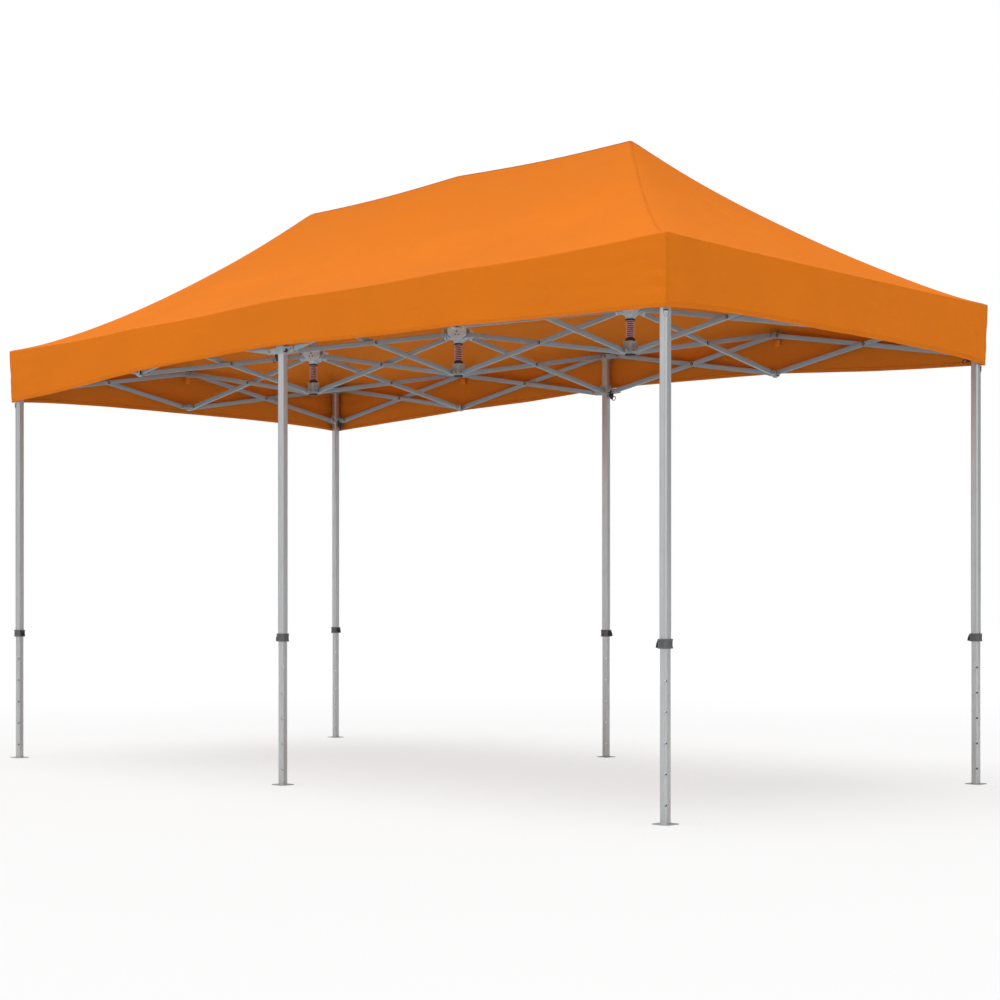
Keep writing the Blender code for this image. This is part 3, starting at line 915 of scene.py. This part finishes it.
def slider(column, row):
    """The casting that runs on a leg and holds its lower pins, with its pull pin and latch."""
    shape = Shape()
    low, high = LOW_PIN - SLIDER_BELOW, LOW_PIN + SLIDER_ABOVE
    bore = cut_square(*SLIDER_BORE)
    shape.add(pipe(cut_square(2 * BLOCK_HALF, 0.011, 0.003), bore, low, high, 0.002))
    shape.add(pipe(cut_square(2 * BLOCK_HALF + RIM, 0.013, 0.003), bore, high - 0.008, high - 0.001, 0.0012))
    forks(shape, column, row, LOW_PIN, SLIDER_ARM)
    ribs(shape, RIB, low + 0.004, high - 0.01, BLOCK_HALF + 0.0005, 5, 0.009)
    pull_pin(shape, -column / 2 if column else row, low)
    latch_way = (1 if column < 2 else -1, 0)
    shape.add(slab(filleted(LATCH, 0.003, 3), -0.007, 0.007, 0.001),
              facing(latch_way, (0, -0.03, LOW_PIN)) @ UPRIGHT, 2)
    return shape.mesh("slider", CASTING_LOOKS)


def pull_pin(shape, way, low):
    """A black knob under the slider on one side, with a split ring through its end."""
    seat, aim = Vector((way * 0.0455, 0, low + 0.003)), Vector((way * 0.22, 0, -1)).normalized()
    shape.add(lathe(KNOB, 20), toward(aim, seat), 2)
    eye = seat + aim * 0.038
    centre = eye + Vector((way * 0.021, 0, 0.003))
    wire = 0.0027
    ring = [centre + Vector((0.0135 * x, 0.004 * y, 0.015 * y)) for x, y in circle(1)]
    hook = [eye - aim * 0.004, eye + Vector((way * 0.004, 0, 0.001)), centre - Vector((way * 0.0125, 0, 0))]
    shape.add(swept(ring, wire, looped=True), look=3)
    shape.add(swept(hook, wire), look=3)


def clamp_mesh(side):
    """The height clamp: a moulded collar with ribs and a lever on one side."""
    shape = Shape()
    low, high = CLAMP_LOW, CLAMP_LOW + CLAMP_TALL
    centre = (low + high) / 2
    for across, start, end in ((CLAMP, low, high), (CLAMP_RIM, low, low + CLAMP_RIM_TALL),
                               (CLAMP_RIM, high - CLAMP_RIM_TALL, high)):
        shape.add(pipe(cut_square(across, CLAMP_CORNER, 0.004), cut_square(*CLAMP_BORE), start, end, 0.0015))
    ribbed = [turn for turn in range(4) if turn != (0 if side > 0 else 2)]
    ribs(shape, rectangle(0.003, 0.005, 0.001), centre - 0.014, centre + 0.014, 0.0325, 3, 0.012, ribbed)
    shape.add(slab(filleted(LEVER, 0.004), -LEVER_HALF, LEVER_HALF, 0.0015),
              moved(side * CLAMP / 2, 0, centre) @ Matrix.Scale(side, 4, (1, 0, 0)) @ UPRIGHT, 1)
    shape.add_all(bolt_head(0.005), toward((0, -1, 0), (side * 0.039, -LEVER_HALF, centre)), 2)
    return shape.mesh("clamp", (DARK_PLASTIC, BLACK_RUBBER, DARK_STEEL))


def drilled(mesh, cutter, places):
    """Cuts holes in a mesh for good."""
    shape = Shape()
    for place in places:
        shape.add(cutter, place)
    base, tool = placed("base", mesh), placed("tool", shape.mesh("tool", ()))
    cut = base.modifiers.new("holes", "BOOLEAN")
    cut.operation, cut.object = "DIFFERENCE", tool
    result = settled(base)
    for used in (base, tool):
        bpy.data.objects.remove(used)
    result.shade_smooth()
    result.set_sharp_from_angle(angle=radians(10))
    return result


def inner_leg_mesh():
    """Lower tube with its row of holes through two cut corners."""
    outside, inside = INNER_TUBE
    tube = Shape(*pipe(cut_square(*outside), cut_square(*inside), 0.003, INNER_TOP))
    across = Vector((1, -1, 0)).normalized()
    return drilled(tube.mesh("inner_leg", (LEG_METAL,)), lathe([(HOLE, -0.05), (HOLE, 0.05)], 20),
                   [toward(across, (0, 0, FIRST_HOLE + HOLE_PITCH * step)) for step in range(HOLES)])


def foot_mesh():
    """A thin square plate with four holes, and the weld round the tube on it."""
    plate = Shape(*slab(rectangle(FOOT, FOOT, 0.01, 5), 0.0, 0.004)).mesh("foot_plate", (LEG_METAL,))
    plate = drilled(plate, lathe([(FOOT_HOLE, -0.01), (FOOT_HOLE, 0.02)], 20),
                    [moved(x * FOOT_HOLE_AT, y * FOOT_HOLE_AT) for x in SIDES for y in SIDES])
    foot = Shape()
    weld = ((-0.0045, 0.0038), (-0.0032, 0.006), (-0.0004, 0.0085), (0.001, 0.0085), (0.001, 0.0038))
    foot.add(loft([level(shrunk(cut_square(*INNER_TUBE[0]), inward), height) for inward, height in weld],
                  looped=True), look=1)
    foot.add(([vertex.co for vertex in plate.vertices], [list(face.vertices) for face in plate.polygons]))
    return foot.mesh("foot", (LEG_METAL, GREY_CASTING))


def strap_plate(side, row):
    """The small slotted plate near the top of a corner leg that the roof's corner strap ties to."""
    shape = Shape()
    shield = filleted(SHIELD, 0.006, 4)
    upright = turned(1) @ UPRIGHT
    shape.add(slab(shield, 0.0, 0.0022, 0.0006), upright, 2)
    shape.add(slab(shrunk(shield, 0.0035), 0.0018, 0.0034, 0.0006), upright)
    shape.add(slab(rectangle(0.027, 0.0055, 0.002), 0.0, 0.005, 0.001), upright @ moved(0, 0.014), 1)
    shape.add_all(bolt_head(0.0028), upright @ moved(0, -0.004, 0.003), 2)
    mesh = shape.mesh("strap_plate", (PALE_CASTING, BLACK_RUBBER, BOLT_STEEL))
    mesh.transform(facing((side, row)) @ moved(STRAP_PLATE_OUT, 0, STRAP_PLATE))
    return mesh


def legs():
    outside, inside = OUTER_TUBE
    tube = Shape(*pipe(cut_square(*outside), cut_square(*inside), CLAMP_LOW + 0.004, LEG_TOP - 0.004))
    outer_mesh = tube.mesh("outer_leg", (LEG_METAL,))
    inner_mesh, foot = inner_leg_mesh(), foot_mesh()
    clamps = {side: clamp_mesh(side) for side in SIDES}
    for row in SIDES:
        for column in (-2, 0, 2):
            name = node_name(column, row)
            place = moved(column * BAY, row * BAY)
            outer, inner = f"outer_leg_{name}", f"inner_leg_{name}"
            made(f"outer_tube_{name}", outer_mesh, outer, "outer_leg", place, (outer,))
            made(f"leg_head_{name}", leg_head(column, row), outer, "outer_leg", place)
            made(f"clamp_{name}", clamps[-column // 2 or row], outer, "outer_leg", place)
            piece = made(f"slider_{name}", slider(column, row), outer, "outer_leg", place)
            carried(piece, (0, 0, LOW_TRAVEL))
            made(f"inner_tube_{name}", inner_mesh, inner, "inner_leg", place, (inner,))
            made(f"foot_{name}", foot, inner, "inner_leg", place)
            if column:
                made(f"strap_plate_{name}", strap_plate(column // 2, row), outer, "outer_leg", place)


def free_bracket(column, row, height, upper):
    """The small bracket where bars meet and no upright stands."""
    shape = Shape()
    if row:                                  # the lengthwise bars share one pin here
        cheeks(shape, rectangle(0.04, 0.036, 0.01, 4), Matrix(), 0)
        lid = 0.0175 if upper else -0.02
        shape.add(slab(rectangle(0.034, SLOT + 2 * CHEEK, 0.003), lid, lid + 0.004, 0.0008))
    else:
        shape.add(slab(cut_square(HUB - 0.004, 0.008, 0.003), -0.022, 0.022, 0.002))
    forks(shape, column, row, 0, FREE_ARM)
    if upper:                                # a black cap on top, or a small cast boss below
        cap = ((0.024, 0.0205), (0.025, 0.022), (0.023, 0.0238), (0.012, 0.0245), (0.004, 0.0246))
        shape.add(lathe(cap), look=2)
    else:
        shape.add(lathe([(0.004, -0.0285), (0.012, -0.0275), (0.015, -0.024), (0.015, -0.0165)]))
    mesh = shape.mesh("free_bracket", CASTING_LOOKS[:3])
    mesh.transform(moved(0, 0, height))
    return mesh


def free_brackets():
    for column, row in FREE_NODES:
        name = node_name(column, row)
        for label, height, down in (("upper", HIGH_PIN, 0), ("lower", LOW_PIN, LOW_TRAVEL)):
            mesh = free_bracket(column, row, height, label == "upper")
            piece = made(f"{label}_bracket_{name}", mesh, "roof", "bar", moved(column * BAY, row * BAY))
            carried(piece, (IN_TRAVEL * column, IN_TRAVEL * row, down))


def mast_tube(column):
    """Mast tube with its cap, block and collars."""
    shape = Shape()
    outer = [Vector(point) for point in circle(MAST_RADIUS, 32)]
    top = MAST_TOP + (0 if column else RIDGE_ARCH)
    shape.add(pipe(outer, [point * MAST_BORE for point in outer], SPRING_HIGH + 0.004, top - 0.02))
    shape.add(lathe([(0.01, top - 0.03), (0.0265, top - 0.03), (0.0265, top - 0.014), (0.022, top - 0.004),
                     (0.014, top + 0.002), (0.004, top + 0.003)], 32), look=2)
    shape.add(slab(cut_square(HUB + 0.002, 0.009, 0.003), HIGH_PIN - 0.04, HIGH_PIN + 0.038, 0.002), look=1)
    shape.add(lathe([(0.0255, SPRING_HIGH + 0.012), (0.029, SPRING_HIGH + 0.014), (0.0295, HIGH_PIN - 0.03),
                     (0.0255, HIGH_PIN - 0.028)], 32), look=1)
    rib = slab(rectangle(0.0022, 0.003, 0.0007, 1), SPRING_HIGH + 0.016, HIGH_PIN - 0.032, 0.0005)
    for turn in range(16):
        shape.add(rib, turned(turn / 4) @ moved(0.0296, 0), 1)
    shape.add(lathe([(0.0255, HIGH_PIN + 0.03), (0.03, HIGH_PIN + 0.03), (0.029, HIGH_PIN + 0.056),
                     (0.0255, HIGH_PIN + 0.058)], 32), look=1)
    return shape.mesh("mast_tube", (MAST_METAL, PALE_CASTING, BLACK_RUBBER))


def mast_bracket(column):
    """The wide cast bracket under the roof."""
    shape = Shape()
    for way, pin in ways(column, 0):
        fork(shape, way, pin, HIGH_PIN, ARM_X if way[0] else ARM_Y, ARM_ROOT, ARM_TIP, ARM_SLOPE)
    for side_y in SIDES:
        for side_x in SIDES:
            mast_web(shape, side_x, side_y)
    return shape.mesh("mast_bracket", (PALE_CASTING, DARK_STEEL))


def mast_web(shape, side_x, side_y):
    """The plate that joins the tips of two neighbouring arms, with three rivets and a stiffening brace."""
    beside = SLOT / 2 + CHEEK
    tip_x = Vector((side_x * (ARM_X - 0.008), side_y * beside, 0))
    tip_y = Vector((side_x * beside, side_y * (ARM_Y - 0.008), 0))
    across, centre = (tip_x - tip_y).length / 2, (tip_x + tip_y) / 2
    out = Vector(((tip_x - tip_y).y, -(tip_x - tip_y).x, 0)).normalized()
    out = out if out.dot(centre) > 0 else -out
    outline = filleted([(-0.03, -0.034), (0.03, -0.034), (across, -0.008), (across, 0.036),
                        (-across, 0.036), (-across, -0.008)], 0.006, 3)
    upright = facing(out, centre + Vector((0, 0, HIGH_PIN))) @ turned(1) @ UPRIGHT
    shape.add(slab(outline, -0.0045, 0, 0.001), upright)
    for x, y in RIVETS:
        shape.add_all(bolt_head(0.0036), upright @ moved(x, y), 1)
    away = centre.length - 0.002
    brace = filleted([(0.03, -0.03), (away, -0.03), (away, 0.03), (0.03, 0.034)], 0.004, 2)
    shape.add(slab(brace, -0.002, 0.002, 0.0008), facing(centre, (0, 0, HIGH_PIN)) @ UPRIGHT)


def spring_mesh():
    """Coil spring between two black rings on a dark core."""
    shape = Shape()
    count, once = SPRING_TURNS * SPRING_STEPS, circle(SPRING_RADIUS, SPRING_STEPS)
    shape.add(swept([(*once[step % SPRING_STEPS], SPRING_LOW + (SPRING_HIGH - SPRING_LOW) * step / count)
                     for step in range(count + 1)], SPRING_WIRE_RADIUS))
    shape.add(lathe([(0.0205, SPRING_LOW - 0.02), (0.0205, SPRING_HIGH + 0.01)]), look=2)
    for low, high in ((SPRING_HIGH, SPRING_HIGH + 0.011), (SPRING_LOW - 0.018, SPRING_LOW)):
        shape.add(lathe([(0.02, low), (0.0285, low + 0.001), (0.0292, (low + high) / 2),
                         (0.0285, high - 0.001), (0.02, high)], 32), look=1)
    return shape.mesh("mast_spring", (SPRING_WIRE, BLACK_RUBBER, SPRING_CORE))


def mast_foot(column):
    """The lower bracket: a ribbed block with four forks and a black ring below."""
    shape = Shape()
    low, high = LOW_PIN - FOOT_BELOW, LOW_PIN + FOOT_ABOVE
    shape.add(slab(cut_square(2 * BLOCK_HALF, 0.01, 0.003), low, high, 0.003))
    shape.add(slab(cut_square(2 * BLOCK_HALF + RIM, 0.012, 0.003), high - 0.01, high - 0.002, 0.0015))
    ribs(shape, RIB, low + 0.03, high - 0.011, BLOCK_HALF + 0.0005, 5, 0.0085)
    ribs(shape, rectangle(0.003, 0.006, 0.0008, 1), low + 0.003, high - 0.011, 0.0392, 1, 0, (0.5, 1.5, 2.5, 3.5))
    forks(shape, column, 0, LOW_PIN, FOOT_ARM)
    shape.add(lathe([(0.018, low - 0.012), (0.03, low - 0.011), (0.031, low - 0.003),
                     (0.029, low + 0.001)], 32), look=2)
    return shape.mesh("mast_foot", CASTING_LOOKS[:3])


def masts():
    for column in (-1, 0, 1):
        name, place = COLUMN_NAMES[2 * column], moved(column * BAY, 0)
        node = f"mast_{name}"
        body = node if column else "roof"
        made(f"mast_tube_{name}", mast_tube(column), body, "mast", place, (node,))
        made(f"mast_bracket_{name}", mast_bracket(column), body, "mast", place)
        made(f"mast_spring_{name}", spring_mesh(), body, "mast", place)
        piece = made(f"mast_foot_{name}", mast_foot(column), body, "mast", place)
        carried(piece, (0, 0, LOW_TRAVEL))


# ---------------------------------------------------------------- stage, lights and camera


def mixed(tree, share, plain, other, output):
    """Ends a node tree in one shader going to another where share is 1."""
    mix = tree.nodes.new("ShaderNodeMixShader")
    for value, socket in ((share, mix.inputs["Fac"]), (plain, mix.inputs[1]), (other, mix.inputs[2]),
                          (mix.outputs["Shader"], tree.nodes[output].inputs["Surface"])):
        tree.links.new(value, socket)


def stage():
    """A pale matt disc. It glows for the camera, partly near the canopy and fully far away, where it
    meets the white backdrop."""
    look = Look("floor", (0.85, 0.85, 0.85), 0.9)
    look.done(look.blended(look.ranged(look.noise(0.7, 3), 0, 1), (0.84, 0.84, 0.84), (0.86, 0.86, 0.86)))
    away = look.node("VectorMath", {"Vector": look.place}, operation="LENGTH").outputs["Value"]
    glow = look.node("Emission", {"Strength": GLOW_STRENGTH}).outputs["Emission"]
    seen = look.node("LightPath").outputs["Is Camera Ray"]
    share = look.maths("MULTIPLY", seen, look.ranged(away, FLOOR_GLOW, 1.0, *FLOOR_FADE))
    mixed(look.tree, share, look.shader.outputs["BSDF"], glow, "Material Output")
    disc = [(x, y, -FLOOR_BELOW) for x, y in circle(FLOOR_REACH, FLOOR_SIDES)]
    floor = placed("floor", Shape(disc, [list(range(FLOOR_SIDES))]).mesh("floor", (look.material,)))


def lights():
    """Soft grey light from all round behind a white backdrop, and three broad suns."""
    world = bpy.data.worlds.new("studio")
    bpy.context.scene.world = world
    world.use_nodes = True
    nodes = world.node_tree.nodes
    sky, seen = nodes["Background"], nodes.new("ShaderNodeBackground")
    sky.inputs["Strength"].default_value = SKY
    for background in (sky, seen):
        background.inputs["Color"].default_value = (1, 1, 1, 1)
    mixed(world.node_tree, nodes.new("ShaderNodeLightPath").outputs["Is Camera Ray"],
          sky.outputs["Background"], seen.outputs["Background"], "World Output")
    for name, source, strength, spread in SUNS:
        lamp = bpy.data.lights.new(name, "SUN")
        lamp.energy, lamp.angle = strength, radians(spread)
        placed(name, lamp, toward(Vector(source).normalized()))


def camera():
    lens = bpy.data.cameras.new("camera")
    lens.lens, lens.sensor_width, lens.shift_y = LENS, SENSOR, SHIFT_UP
    viewer = placed("camera", lens)
    viewer.location = CAMERA_AT
    viewer.rotation_euler = (pi / 2, 0, CAMERA_TURN)
    bpy.context.scene.camera = viewer


camera()
lights()
stage()
cloth = roof_cloth()
extras = [*hip_seams(), ridge_seam(), hem_band(), *corner_seams(), *peak_patches(), *tabs()]
bars()
legs()
masts()
free_brackets()
bpy.context.scene.view_settings.view_transform = "Standard"
